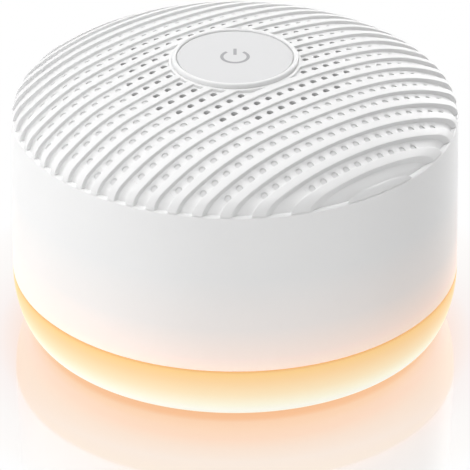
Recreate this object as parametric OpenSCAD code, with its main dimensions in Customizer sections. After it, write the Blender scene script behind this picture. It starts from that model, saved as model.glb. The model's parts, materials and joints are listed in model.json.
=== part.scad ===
// White noise sound machine: a round table unit with a ribbed sound grille on top, a press button
// in its middle, a night-light ring at its foot, and a control panel and power inlet at the back.
// Z is up, the origin is on the table under the middle, and the controls face +Y.

/* [Body] */
// Width over the top of the light ring
body_d = 100; // [94:1:114]
// Height of the side wall, from the light ring to the grille
side_h = 37.45; // [36:0.05:46]
// Thickness of the side wall
side_wall = 2.4; // [1.8:0.1:2.8]
// How far the side wall leans in at its rim
side_lean = 0.7; // [0:0.1:1.2]
// Thickness of the base plate
base_t = 2.5; // [2:0.1:3.5]
// How far the rubber feet lift the base off the table
foot_stand = 0.8; // [0.5:0.1:2]
// Width of a rubber foot
foot_d = 10; // [7:0.5:12]

/* [Light ring] */
// Height of the light ring
ring_h = 13.1; // [12.5:0.1:16]
// How far the light ring curves in at its foot
ring_tuck = 5.3; // [3:0.1:6]
// Thickness of the light ring
ring_wall = 2; // [1.5:0.1:2.4]
// Number of LEDs round the ring
led_count = 12; // [4:4:20]

/* [Grille] */
// Radius of the rounded shoulder
shoulder_r = 5; // [4:0.1:6.5]
// Slope at which the shoulder turns into the haunch, in degrees
shoulder_a = 34.2; // [30:0.1:40]
// Radius of the haunch, between the shoulder and the crown
haunch_r = 43.9; // [36:0.1:48]
// Slope at which the haunch turns into the crown, in degrees
crown_a = 10.6; // [9:0.1:13]
// Skin of the grille under its grooves
skin = 1.9; // [1.4:0.1:2.4]
// Depth of the grooves on top
groove_depth = 0.5; // [0.3:0.05:0.8]
// Depth of the grooves at the shoulder, measured sideways
groove_side = 0.85; // [0.6:0.05:1]
// Distance from one ridge to the next
ridge_pitch = 4.285; // [3.6:0.005:6]
// Width of a ridge
ridge_w = 1.69; // [1.2:0.01:2]
// Direction in which the ridges run, turned from the X axis
ridge_turn = 39.7; // [0:0.1:90]
// Diameter of a sound hole
hole_d = 1.5; // [1:0.05:1.6]
// Distance from one hole to the next along a groove
hole_pitch = 3.2; // [2.8:0.05:4.5]

/* [Power button] */
// Width of the round button
button_d = 25.4; // [22:0.2:27]
// Thickness of the button's cap
button_t = 1.3; // [1:0.1:1.8]
// Travel of the power button
button_travel = 0.5; // [0.3:0.05:0.6]
// Width of the trim ring's wall
trim_w = 0.95; // [0.7:0.05:1.2]
// How far the button's face stands above the crown
button_proud = 0.17; // [0:0.01:0.5]
// How far the trim ring stands above the button
trim_proud = 0.3; // [0.1:0.05:0.6]

/* [Control buttons] */
// Width of a control button
key_d = 7; // [5.5:0.1:7.6]
// Distance between control buttons
key_pitch = 10.2; // [10:0.1:11.5]
// Height of the middle of the control panel above the table
panel_z = 33.6; // [33:0.1:34.5]
// How far the control buttons stand out of the wall
key_proud = 0.3; // [0.2:0.05:0.6]
// Travel of a control button
key_travel = 0.4; // [0.2:0.05:0.5]

/* [Speaker] */
// Width of the speaker's frame
speaker_d = 56; // [52:0.5:58]
// Width of the speaker's moving part, over its surround
cone_d = 47; // [42:0.5:48]
// Width of the magnet
magnet_d = 40; // [32:0.5:42]
// Thickness of the magnet
magnet_h = 8; // [5:0.5:9]

/* [Screws] */
// Diameter of the case screws
case_screw_d = 2.9; // [2.5:0.1:3.1]
// Diameter of the small screws that hold the speaker and the boards
small_screw_d = 2; // [1.7:0.1:2.2]

/* [Hidden] */
$fn = 64;
eps = 0.01;
big = 200;

// Clearances
slip_gap = 0.25;
seat_gap = 0.3;
pilot_gap = 0.05;
bore_gap = 0.2;
plunger_gap = 0.1;
glue_gap = 0.02;

// Levels of the case, from the table up
base_z = foot_stand;
ring_top = base_z + ring_h;
rim_z = ring_top + side_h;
body_r = body_d / 2;
rim_r = body_r - side_lean;
foot_r = body_r - ring_tuck;
edge_round = 0.3;
foot_x = foot_r - 11;
foot_sink = 1.2;

// Dome of the grille
shoulder_drop = 0.8;
dome_z = rim_z - shoulder_drop;
crown_z = dome_at(0, rim_r, dome_z);
floor_r = rim_r - groove_side;
floor_z = dome_z - groove_depth;
void_r = floor_r - skin - 0.4;
void_z = floor_z - skin + 0.2;
ridge_first = 0.931 * rim_r;
end_band = floor_r - 0.4;
ridge_count = floor((ridge_first + end_band) / ridge_pitch) + 1;

// Middle of the grille
button_r = button_d / 2;
button_face = crown_z + button_proud;
cap_z = button_face - button_t;
trim_in = button_r + slip_gap;
trim_out = trim_in + trim_w;
trim_top = button_face + trim_proud;
trim_h = 2.45;
trim_foot = trim_top - trim_h;
land_r = trim_out + 0.7;
well_in = button_r + 0.45;
well_out = trim_out + 0.8;
well_wall = 1.2;
well_hole_r = 8.5;
lip_r = rim_r - side_wall - seat_gap;
lip_t = 1.7;
lip_reach = 4;
hole_ring_r = trim_out + 1.75;
open_r = speaker_d / 2 - 2.8;
skirt_r = button_r - 0.3;
skirt_t = 1;
skirt_h = 2.3;
lug_reach = 0.95;
lug_root = 0.3;
lug_h = 0.8;
lug_w = 3;
lug_count = 3;
stem_d = 3.2;

// Small switch under the power button
plunger_d = 3.4;
plunger_h = 0.9;
plunger_sunk = 0.9;
switch_h = 2.4;
switch_w = 6;
board_t = 1.2;
plunger_top = cap_z - 1.65;
switch_top = plunger_top - plunger_h;
top_board_z = switch_top - switch_h - board_t;
well_floor_z = top_board_z - well_wall;
top_board_r = well_in - 0.6;
top_screw_y = top_board_r - 2;

// Speaker, hung from the underside of the grille
speaker_r = speaker_d / 2;
cone_r = cone_d / 2;
collar_in = open_r + 0.2;
collar_out = collar_in + 1.8;
gasket_t = 0.8;
gasket_top = well_floor_z - 1.6;
flange_t = 1.2;
flange_top = gasket_top - gasket_t;
ear_reach = 3.2;
ear_r = speaker_r + ear_reach;
ear_d = 5.4;
ear_a = 45;
speaker_screw_l = 6;
basket_h = 12.1;
basket_z = flange_top - flange_t - basket_h;
basket_seat_t = 1.2;
basket_in = 8;
plate_t = 2;
plate_inset = 1.5;
top_plate_z = basket_z - basket_seat_t - plate_t;
magnet_z = top_plate_z - magnet_h;
yoke_z = magnet_z - plate_t;
magnet_r = magnet_d / 2;
magnet_in = 11;
window_w = 10;
window_l = 14;
pole_r = 6.6;
coil_r = 7.1;
coil_t = 0.5;
coil_lift = 0.2;
coil_past = 1.5;
coil_clear = 0.4;
surround_r = 2;
surround_rim = 0.9;
surround_t = 0.4;
cone_t = 0.5;
cone_top = flange_top - 0.3;
cone_foot = basket_z + 4.8;
cone_neck_h = 0.9;
dust_cap_rise = 2.6;
dust_cap_foot = cone_foot + 2.4;
basket_neck = magnet_r - 2.5;
spider_z = basket_z + 2.2;
spider_wave = 0.7;
spider_t = 0.35;

// Case screws and the posts they hold
post_r = 3.2;
boss_r = 4.2;
plate_r = foot_r - ring_wall - seat_gap;
base_post_x = plate_r - boss_r;
base_screw_a = 45;
boss_top = ring_top - 1;
head_r = case_screw_d / 2 + 1.3;
head_h = 2.2;
head_seat = base_z + 6;
base_screw_l = 15;
tray_t = 1.5;
tray_top = boss_top + tray_t;
ring_lip_r = body_r - side_wall - slip_gap;
ring_lip_h = 1.6;
rib_t = 1.6;
rib_z = ring_top + ring_lip_h + seat_gap;
cover_post_in = 7.5;
cover_post_x = body_r - cover_post_in;
cover_post_a = [30, 150, 270];
cover_post_l = 13.35;
tab_z = rim_z - cover_post_l;
tab_t = 2.5;
cover_screw_l = 8;
cover_head_h = 1.8;

// Boards in the base
main_z = tray_top + 1.5;
main_t = 1.6;
main_top = main_z + main_t;
main_w = 48;
main_front = -22;
main_back = 24;
chip_w = 9;
amp_w = 5;
amp_l = 6.2;
coil_w = 6;
coil_h = 3;
can_r = 3.15;
can_h = 5.5;
tongue_w = 16;
tongue_end = body_r - side_wall - 1.2;
standoff_r = 2.2;
main_screw_x = main_w / 2 - 3;
main_screw_y = [main_front + 4, main_back - 6];
light_post_r = 1.6;
light_z = base_z + base_t + 1;
light_top = light_z + board_t;
light_in = 28;
light_out = foot_r - ring_wall - 2.3;
led_r = light_out - 1.7;
led_h = 1.4;
led_w = 2.8;
led_l = 3.5;
ledge_t = 1.2;
ledge_in = light_out + 0.4;

// Power inlet: a USB-C socket lying on the main board
usb_w = 8.94;
usb_h = 3.26;
usb_l = 7.35;
usb_wall = 0.3;
usb_z = main_top + usb_h / 2 + 0.05;
usb_face = wall_at(usb_z) - 0.5;
usb_hole_w = usb_w + 2 * slip_gap;
usb_hole_h = usb_h + 2 * slip_gap;

// Control panel at the back
key_cols = [-1, 0, 1];
key_rows = [-0.5, 0.5];
side_board_in = 12;
side_board_y = body_r - side_board_in;
side_switch_h = 2;
side_plunger_d = 1.8;
side_plunger_h = 1;
side_plunger_sunk = 0.8;
switch_floor = side_switch_h - side_plunger_sunk - key_travel - 3 * plunger_gap;
side_plunger_y = side_board_y + side_switch_h + side_plunger_h;
key_flange_t = 1;
key_stem_l = 1.9;
key_stem_r = 1.2;
key_flange_y = side_plunger_y + key_stem_l;
key_flange_r = key_d / 2 + 0.9;
guide_end = key_flange_y + key_flange_t + plunger_gap;
guide_r = key_d / 2 + 1.4;
side_post_x = key_pitch + key_d / 2 + 1.7;
side_board_w = 2 * side_post_x + 5.2;
side_board_h = key_pitch + key_d + 4;
side_switch_w = 4.2;

// Ribbon cables
ribbon_t = 0.3;
ribbon_w = 5;
socket_h = 2;
socket_l = 4;
socket_w = ribbon_w + 2;
small_socket_l = 3;
small_socket_h = 1.4;
lead_socket_w = 2.8;
ribbon_x = -speaker_r - 2;
ribbon_z = top_board_z + board_t + 0.3;
light_ribbon_x = light_in - 1.5;
lead_d = 1.2;
lead_a = [196, 212];
lead_r = magnet_r + 2.6;
lead_top = basket_z + 5;
lead_tag = [3.6, 8.8, 1.2];
lead_tag_in = 2.2;

// Height of a dome at radius r, when its wall has radius r1 and its shoulder starts at height z1
function shoulder_x(r1) = r1 - shoulder_r + shoulder_r * sin(shoulder_a);
function shoulder_z(z1) = z1 + shoulder_r * cos(shoulder_a);
function haunch_x(r1) = shoulder_x(r1) - haunch_r * sin(shoulder_a);
function haunch_z(z1) = shoulder_z(z1) - haunch_r * cos(shoulder_a);
function crown_x(r1) = haunch_x(r1) + haunch_r * sin(crown_a);
function crown_r(r1) = crown_x(r1) / sin(crown_a);
function crown_mid(r1, z1) = haunch_z(z1) + haunch_r * cos(crown_a) - crown_r(r1) * cos(crown_a);
function dome_at(r, r1, z1) =
    r < crown_x(r1) ? crown_mid(r1, z1) + sqrt(crown_r(r1) ^ 2 - r ^ 2)
    : r < shoulder_x(r1) ? haunch_z(z1) + sqrt(haunch_r ^ 2 - (r - haunch_x(r1)) ^ 2)
    : z1 + sqrt(shoulder_r ^ 2 - (r - r1 + shoulder_r) ^ 2);

// Outer radius of the side wall at height z
function wall_at(z) = body_r - side_lean * (z - ring_top) / side_h;

module tube(r_out, r_in, z0, z1) {
    translate([0, 0, z0]) difference() {
        cylinder(r = r_out, h = z1 - z0);
        translate([0, 0, -1]) cylinder(r = r_in, h = z1 - z0 + 2);
    }
}

// Sets its children at radius r and angle a round the Z axis
module around(a, r) {
    rotate([0, 0, a]) translate([r, 0, 0]) children();
}

// A cylinder that runs along +Y from y0 to y1
module bar_y(r, y0, y1) {
    translate([0, y0, 0]) rotate([-90, 0, 0]) cylinder(r = r, h = y1 - y0);
}

// Sets its children at the middle of one control button
module at_key(col, row) {
    translate([key_cols[col] * key_pitch, 0, panel_z + key_rows[row] * key_pitch]) children();
}

// A screw that points up, with its head's top face at the origin
module screw(d, length, head, head_depth) {
    cylinder(d = d, h = length);
    difference() {
        translate([0, 0, -head_depth]) cylinder(r = head, h = head_depth);
        for (a = [0, 90]) {
            rotate([0, 0, a]) translate([-head * 0.6, -0.35, -head_depth - 1])
                cube([head * 1.2, 0.7, 1 + head_depth * 0.5]);
        }
    }
}

// Half section of a dome: a straight foot, then the shoulder, haunch and crown arcs
module dome_section(r1, z1, base) {
    x1 = shoulder_x(r1);
    x2 = crown_x(r1);
    z2 = dome_at(x2, r1, z1);
    mid = [haunch_x(r1), haunch_z(z1)];
    reach = haunch_r + 9;
    intersection() {
        translate([0, base]) square([r1, big]);
        union() {
            translate([0, base]) square([r1, z1 - base]);
            intersection() {
                translate([r1 - shoulder_r, z1]) circle(shoulder_r);
                translate([r1 - shoulder_r, z1]) square(shoulder_r + 1);
            }
            intersection() {
                translate(mid) circle(haunch_r, $fn = 180);
                polygon([
                    [0, base], [r1 - shoulder_r, base], [r1 - shoulder_r, z1],
                    mid + reach * [sin(shoulder_a), cos(shoulder_a)],
                    mid + reach * [sin(crown_a), cos(crown_a)],
                    [x2, z2], [0, z2]
                ]);
            }
            intersection() {
                translate([0, crown_mid(r1, z1)]) circle(crown_r(r1), $fn = 720);
                polygon([[0, base], [x2, base], [x2, z2 + 9], [0, z2 + 9]]);
            }
        }
    }
}

module dome(r1, z1, base) {
    rotate_extrude($fn = 128) dome_section(r1, z1, base);
}

// Straight ridges on the dome, the plain band at each end, and the land round the trim ring
module ridges() {
    intersection() {
        dome(rim_r, dome_z, rim_z);
        union() {
            rotate([0, 0, ridge_turn - 90]) {
                for (i = [0:ridge_count - 1]) {
                    translate([ridge_first - ridge_w - i * ridge_pitch, -big / 2, rim_z - 1])
                        cube([ridge_w, big, 40]);
                }
                translate([end_band, -big / 2, rim_z - 1]) cube([40, big, 40]);
                translate([-end_band - 40, -big / 2, rim_z - 1]) cube([40, big, 40]);
            }
            translate([0, 0, rim_z]) cylinder(r = land_r, h = 40);
        }
    }
}

// Sound holes in the groove floors: inside the speaker's collar and clear of the trim ring
module sound_holes() {
    rows = floor(open_r / ridge_pitch);
    rotate([0, 0, ridge_turn - 90]) for (i = [-rows:rows]) {
        q = i * ridge_pitch;
        first = abs(q) < hole_ring_r ? sqrt(hole_ring_r ^ 2 - q ^ 2) : hole_pitch / 2;
        for (k = [0:floor(open_r / hole_pitch)], side = [-1, 1]) {
            s = first + k * hole_pitch;
            if (norm([q, s]) < open_r) {
                translate([q, side * s, flange_top]) cylinder(d = hole_d, h = 20, $fn = 24);
            }
        }
    }
}

// Well for the power button, collar for the speaker, and the posts that take screws
module grille_fittings() {
    tube(well_out, well_in, well_floor_z, trim_foot);
    tube(well_out, well_hole_r, well_floor_z, top_board_z);
    tube(lip_r, lip_r - lip_t, rim_z - lip_reach, rim_z + 2);
    tube(collar_out, collar_in, gasket_top, dome_at(collar_out, void_r, void_z) + skin / 2);
    for (a = [0:90:270]) {
        around(ear_a + a, ear_r) translate([0, 0, flange_top])
            cylinder(d = ear_d, h = dome_at(ear_r, void_r, void_z) + skin / 2 - flange_top);
    }
    for (a = cover_post_a) {
        around(a, cover_post_x) translate([0, 0, tab_z + tab_t])
            cylinder(r = post_r, h = dome_at(cover_post_x, void_r, void_z) + skin / 2 - tab_z - tab_t);
    }
}

module grille_cuts() {
    sound_holes();
    translate([0, 0, trim_foot]) cylinder(r = trim_out + pilot_gap, h = 20);
    translate([0, 0, top_board_z]) cylinder(r = well_in, h = 20);
    for (i = [0:lug_count - 1]) {
        rotate([0, 0, i * 360 / lug_count])
            translate([0, -lug_w / 2 - slip_gap, cap_z - skirt_h - button_travel - plunger_gap])
            cube([
                skirt_r + lug_reach + slip_gap, lug_w + 2 * slip_gap,
                lug_h + button_travel + 1.5 * plunger_gap
            ]);
    }
    translate([ribbon_x - 0.8, -ribbon_w / 2 - slip_gap, ribbon_z - slip_gap])
        cube([0.8 - ribbon_x - well_in + 1, ribbon_w + 2 * slip_gap, ribbon_t + 2 * slip_gap]);
    for (side = [-1, 1]) {
        translate([0, side * top_screw_y, well_floor_z - 1])
            cylinder(d = small_screw_d + 2 * pilot_gap, h = well_wall + 2);
    }
    for (a = [0:90:270]) {
        around(ear_a + a, ear_r) translate([0, 0, flange_top - 1])
            cylinder(d = small_screw_d + 2 * pilot_gap, h = speaker_screw_l);
    }
    for (a = cover_post_a) {
        around(a, cover_post_x) translate([0, 0, tab_z])
            cylinder(d = case_screw_d + 2 * pilot_gap, h = cover_screw_l + 1.5);
    }
}

module grille_cover() {
    color("white") difference() {
        union() {
            difference() {
                union() {
                    dome(floor_r, floor_z, rim_z);
                    ridges();
                }
                dome(void_r, void_z, rim_z - 5);
            }
            grille_fittings();
        }
        grille_cuts();
    }
}

// Thin acoustic cloth that keeps dust out of the sound holes, between the well and the collar
module dust_cloth() {
    steps = 4;
    r0 = well_out + seat_gap;
    r1 = collar_in - seat_gap;
    color("dimgray") rotate_extrude() polygon([
        for (i = [0:steps]) let (r = r0 + (r1 - r0) * i / steps) [r, dome_at(r, void_r, void_z) - 0.15],
        for (i = [steps:-1:0]) let (r = r0 + (r1 - r0) * i / steps) [r, dome_at(r, void_r, void_z) - 0.5]
    ]);
}

module trim_ring() {
    round_r = trim_w * 0.42;
    color("white") rotate_extrude() union() {
        translate([trim_in, trim_foot]) square([trim_w, trim_h - round_r]);
        translate([trim_in + round_r, trim_foot]) square([trim_w - 2 * round_r, trim_h]);
        translate([trim_in + round_r, trim_top - round_r]) circle(round_r, $fn = 32);
        translate([trim_out - round_r, trim_top - round_r]) circle(round_r, $fn = 32);
    }
}

module power_button() {
    color("gainsboro") {
        rotate_extrude() polygon([
            [0, cap_z], [button_r, cap_z], [button_r, button_face - edge_round],
            [button_r - edge_round, button_face], [0, button_face]
        ]);
        tube(skirt_r, skirt_r - skirt_t, cap_z - skirt_h, cap_z + eps);
        translate([0, 0, plunger_top]) cylinder(d = stem_d, h = cap_z - plunger_top + eps);
        for (i = [0:lug_count - 1]) {
            rotate([0, 0, i * 360 / lug_count])
                translate([skirt_r - lug_root, -lug_w / 2, cap_z - skirt_h])
                cube([lug_root + lug_reach, lug_w, lug_h]);
        }
    }
}

module power_plunger() {
    color("black") translate([0, 0, switch_top - plunger_sunk])
        cylinder(d = plunger_d, h = plunger_sunk + plunger_h);
}

module top_board() {
    color("darkgreen") difference() {
        translate([0, 0, top_board_z]) cylinder(r = top_board_r, h = board_t);
        for (side = [-1, 1]) {
            translate([0, side * top_screw_y, top_board_z - 1])
                cylinder(d = small_screw_d + 2 * pilot_gap, h = board_t + 2);
        }
    }
}

module top_switch() {
    color("dimgray") difference() {
        translate([-switch_w / 2, -switch_w / 2, switch_top - switch_h])
            cube([switch_w, switch_w, switch_h]);
        translate([0, 0, switch_top - plunger_sunk - button_travel - plunger_gap])
            cylinder(d = plunger_d + 2 * plunger_gap, h = 5);
    }
}

module speaker_gasket() {
    color("black") tube(speaker_r - 0.4, cone_r + 0.4, flange_top, gasket_top);
}

// Pressed frame: a flange with four screw ears, a windowed cone and a seat for the magnet
module speaker_basket() {
    flange_z = flange_top - flange_t;
    window_mid = (basket_neck + cone_r) / 2;
    color("silver") difference() {
        union() {
            tube(speaker_r, cone_r + 0.1, flange_z, flange_top);
            for (a = [0:90:270]) {
                rotate([0, 0, ear_a + a]) {
                    translate([speaker_r - 3, -ear_d / 2, flange_z]) cube([ear_reach + 3, ear_d, flange_t]);
                    translate([ear_r, 0, flange_z]) cylinder(d = ear_d, h = flange_t);
                }
            }
            rotate_extrude() polygon([
                [basket_in, basket_z - basket_seat_t], [basket_neck + 1, basket_z - basket_seat_t],
                [basket_neck + 1, basket_z],
                [cone_r + 2.2, flange_z + eps], [cone_r + 1.1, flange_z + eps],
                [basket_neck, basket_z + 0.6], [basket_neck - 0.6, basket_z], [basket_in, basket_z]
            ]);
            rotate([0, 0, (lead_a[0] + lead_a[1]) / 2])
                translate([lead_r - lead_tag_in, -lead_tag[1] / 2, lead_top]) cube(lead_tag);
        }
        for (i = [0:5]) {
            around(i * 60, window_mid + 1) translate([-window_l * 0.43, -window_w / 2, basket_z + 2.5])
                cube([window_l, window_w, basket_h - 5]);
        }
        for (a = [0:90:270]) {
            around(ear_a + a, ear_r) translate([0, 0, flange_z - 1])
                cylinder(d = small_screw_d + 2 * bore_gap, h = 4);
        }
    }
}

// Half-roll rubber edge between the cone and the flange
module speaker_surround() {
    mid_r = cone_r - surround_r - 0.3;
    color("black") rotate_extrude() difference() {
        union() {
            translate([mid_r, cone_top]) circle(surround_r, $fn = 48);
            translate([mid_r - surround_r - surround_rim, cone_top])
                square([cone_r + 0.08 - mid_r + surround_r + surround_rim, surround_t]);
        }
        translate([mid_r, cone_top]) circle(surround_r - surround_t, $fn = 48);
        translate([mid_r - 2 * surround_r, cone_top - 2 * surround_r])
            square([4 * surround_r, 2 * surround_r]);
    }
}

module speaker_cone() {
    rim = cone_r - 2 * surround_r - 0.5;
    color("dimgray") rotate_extrude() polygon([
        [coil_r + coil_t + glue_gap, cone_foot], [coil_r + coil_t + 0.6, cone_foot],
        [rim, cone_top - cone_t], [rim, cone_top], [rim - 0.4, cone_top],
        [coil_r + coil_t + glue_gap, cone_foot + cone_neck_h]
    ]);
}

module speaker_dust_cap() {
    cap_r = coil_r + 2;
    ball = (cap_r ^ 2 + dust_cap_rise ^ 2) / (2 * dust_cap_rise);
    ball_z = dust_cap_foot + dust_cap_rise - ball;
    color("black") rotate_extrude() difference() {
        intersection() {
            translate([0, ball_z]) circle(ball, $fn = 120);
            translate([0, dust_cap_foot]) square([cap_r + 2, 2 * dust_cap_rise]);
        }
        translate([0, ball_z - 0.4]) circle(ball, $fn = 120);
    }
}

// Corrugated damper that centres the coil
module speaker_spider() {
    r0 = coil_r + coil_t + glue_gap;
    r1 = basket_neck + 0.98;
    waves = 5;
    function crease(i, z) = [r0 + (r1 - r0) * i / (2 * waves), z + (i % 2) * spider_wave];
    color("goldenrod") rotate_extrude() polygon([
        for (i = [0:2 * waves]) crease(i, spider_z),
        for (i = [2 * waves:-1:0]) crease(i, spider_z + spider_t)
    ]);
}

module voice_coil() {
    color("chocolate") tube(coil_r + coil_t, coil_r, top_plate_z + coil_lift, cone_foot + coil_past);
}

module speaker_magnet() {
    color("darkslategray") tube(magnet_r, magnet_in, magnet_z, top_plate_z);
}

module speaker_yoke() {
    color("lightgray") {
        translate([0, 0, yoke_z]) cylinder(r = magnet_r - plate_inset, h = plate_t);
        translate([0, 0, yoke_z]) cylinder(r = pole_r, h = top_plate_z + plate_t - yoke_z);
    }
}

module speaker_top_plate() {
    color("lightgray") tube(magnet_r - plate_inset, coil_r + coil_t + coil_clear, top_plate_z, top_plate_z + plate_t);
}

module speaker_screws() {
    color("gray") for (a = [0:90:270]) {
        around(ear_a + a, ear_r) translate([0, 0, flange_top - flange_t])
            screw(small_screw_d, speaker_screw_l, small_screw_d, 1.3);
    }
}

module speaker_leads() {
    color("red") for (a = lead_a) {
        around(a, lead_r) translate([0, 0, main_top + socket_h])
            cylinder(d = lead_d, h = lead_top - main_top - socket_h, $fn = 24);
    }
}

// Outline of the side wall in half section, grown outwards by extra
module wall_section(extra, z0, z1) {
    polygon([[0, z0], [wall_at(z0) + extra, z0], [wall_at(z1) + extra, z1], [0, z1]]);
}

module wall_fittings() {
    for (a = [0:90:270]) {
        rotate([0, 0, base_screw_a + a]) {
            translate([base_post_x, 0, tray_top]) cylinder(r = post_r, h = base_screw_l - 3);
            translate([base_post_x, -rib_t / 2, rib_z])
                cube([body_r - side_wall / 2 - base_post_x, rib_t, tray_top + base_screw_l - 3 - rib_z]);
        }
    }
    for (a = cover_post_a) {
        rotate([0, 0, a]) {
            translate([cover_post_x, 0, tab_z]) cylinder(r = post_r + 0.6, h = tab_t);
            translate([cover_post_x, -post_r - 0.6, tab_z])
                cube([body_r - side_wall / 2 - 0.5 - cover_post_x, 2 * post_r + 1.2, tab_t]);
        }
    }
    intersection() {
        union() {
            for (col = [0:2], row = [0:1]) {
                at_key(col, row) bar_y(guide_r, guide_end, body_r);
            }
            for (side = [-1, 1]) {
                translate([side * side_post_x, 0, panel_z]) bar_y(standoff_r, side_board_y, body_r);
            }
        }
        rotate_extrude() wall_section(-side_wall / 2, ring_top, rim_z);
    }
}

module wall_cuts() {
    for (col = [0:2], row = [0:1]) {
        at_key(col, row) bar_y(key_d / 2 + slip_gap, guide_end - 1, body_r + 2);
    }
    for (side = [-1, 1]) {
        translate([side * side_post_x, 0, panel_z])
            bar_y(small_screw_d / 2 + pilot_gap, side_board_y - 1, side_board_y + 4.5);
        translate([side * (usb_hole_w - usb_hole_h) / 2, 0, usb_z])
            bar_y(usb_hole_h / 2, body_r - side_wall - 3, body_r + 2);
    }
    translate([-(usb_hole_w - usb_hole_h) / 2, body_r - side_wall - 3, usb_z - usb_hole_h / 2])
        cube([usb_hole_w - usb_hole_h, side_wall + 5, usb_hole_h]);
    for (a = [0:90:270]) {
        around(base_screw_a + a, base_post_x) translate([0, 0, tray_top - 1])
            cylinder(d = case_screw_d + 2 * pilot_gap, h = base_screw_l - 3);
    }
    for (a = cover_post_a) {
        around(a, cover_post_x) translate([0, 0, tab_z - 1])
            cylinder(d = case_screw_d + 2 * bore_gap, h = tab_t + 2);
    }
}

module body_shell() {
    color("white") difference() {
        union() {
            rotate_extrude($fn = 128) polygon([
                [wall_at(ring_top) - side_wall, ring_top], [body_r - edge_round, ring_top],
                [wall_at(ring_top + edge_round), ring_top + edge_round],
                [wall_at(rim_z - edge_round), rim_z - edge_round],
                [rim_r - edge_round, rim_z], [rim_r - side_wall, rim_z]
            ]);
            wall_fittings();
        }
        wall_cuts();
    }
}

module cover_screws() {
    color("gray") for (a = cover_post_a) {
        around(a, cover_post_x) translate([0, 0, tab_z]) screw(case_screw_d, cover_screw_l, head_r, cover_head_h);
    }
}

// Control button: a round cap that follows the wall, a flange that keeps it in, and a stem
module control_button(col, row) {
    color("whitesmoke") intersection() {
        at_key(col, row) union() {
            bar_y(key_d / 2, key_flange_y, body_r + key_proud + slip_gap);
            bar_y(key_flange_r, key_flange_y, key_flange_y + key_flange_t);
            bar_y(key_stem_r, side_plunger_y, key_flange_y + eps);
        }
        rotate_extrude($fn = 128) wall_section(key_proud, ring_top, rim_z);
    }
}

module control_plunger(col, row) {
    color("black") at_key(col, row)
        bar_y(side_plunger_d / 2, side_board_y + side_switch_h - side_plunger_sunk, side_plunger_y);
}

module timer_button() { control_button(1, 1); }
module light_button() { control_button(1, 0); }
module volume_down_button() { control_button(2, 0); }
module volume_up_button() { control_button(2, 1); }
module sound_back_button() { control_button(0, 0); }
module sound_next_button() { control_button(0, 1); }
module timer_plunger() { control_plunger(1, 1); }
module light_plunger() { control_plunger(1, 0); }
module volume_down_plunger() { control_plunger(2, 0); }
module volume_up_plunger() { control_plunger(2, 1); }
module sound_back_plunger() { control_plunger(0, 0); }
module sound_next_plunger() { control_plunger(0, 1); }

module side_board() {
    color("darkgreen") difference() {
        translate([-side_board_w / 2, side_board_y - board_t, panel_z - side_board_h / 2])
            cube([side_board_w, board_t, side_board_h]);
        for (side = [-1, 1]) {
            translate([side * side_post_x, 0, panel_z])
                bar_y(small_screw_d / 2 + pilot_gap, side_board_y - 3, side_board_y + 1);
        }
    }
}

module side_switches() {
    w = side_switch_w;
    color("silver") for (col = [0:2], row = [0:1]) {
        at_key(col, row) difference() {
            translate([-w / 2, side_board_y, -w / 2]) cube([w, side_switch_h, w]);
            bar_y(side_plunger_d / 2 + plunger_gap, side_board_y + switch_floor, side_board_y + 5);
        }
    }
}

// Rounded slot of width w and height h, from y0 to y1, centred on the power inlet
module usb_slot(w, h, y0, y1) {
    for (side = [-1, 1]) {
        translate([side * (w - h) / 2, 0, usb_z]) bar_y(h / 2, y0, y1);
    }
    translate([-(w - h) / 2, y0, usb_z - h / 2]) cube([w - h, y1 - y0, h]);
}

module usb_socket() {
    color("silver") difference() {
        usb_slot(usb_w, usb_h, usb_face - usb_l, usb_face);
        usb_slot(usb_w - 2 * usb_wall, usb_h - 2 * usb_wall, usb_face - usb_l + 0.8, usb_face + 1);
    }
}

module usb_tongue() {
    tongue = [6.7, usb_l - 1.4, 0.7];
    color("black") translate([-tongue[0] / 2, usb_face - usb_l + 0.8, usb_z - tongue[2] / 2]) cube(tongue);
}

module main_board() {
    color("darkgreen") difference() {
        union() {
            translate([-main_w / 2, main_front, main_z]) cube([main_w, main_back - main_front, main_t]);
            translate([-tongue_w / 2, main_back - 1, main_z])
                cube([tongue_w, tongue_end - main_back + 1, main_t]);
        }
        for (side = [-1, 1], y = main_screw_y) {
            translate([side * main_screw_x, y, main_z - 1])
                cylinder(d = small_screw_d + 2 * pilot_gap, h = main_t + 2);
        }
    }
}

// Sound chip, amplifier, memory, coil and capacitors on the main board
module main_chips() {
    color([0.15, 0.15, 0.17]) translate([0, 0, main_top]) {
        translate([-chip_w / 2, -chip_w * 2 / 3, 0]) cube([chip_w, chip_w, chip_w / 7]);
        translate([-main_w / 3, main_back / 4, 0]) cube([amp_w, amp_l, amp_w * 0.3]);
        translate([main_w / 5, main_back / 4, 0]) cube([amp_w, amp_w * 0.8, amp_w * 0.3]);
        translate([main_w / 12, main_back * 0.58, 0]) cube([amp_w * 0.8, amp_w * 0.6, amp_w * 0.2]);
        translate([-main_w * 0.35, main_front * 0.45, 0]) cube([coil_w, coil_w, coil_h]);
        translate([main_w / 4, main_front * 0.36, 0]) cylinder(r = can_r, h = can_h);
        translate([main_w / 12, main_front * 0.68, 0]) cylinder(r = can_r, h = can_h);
    }
}

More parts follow.
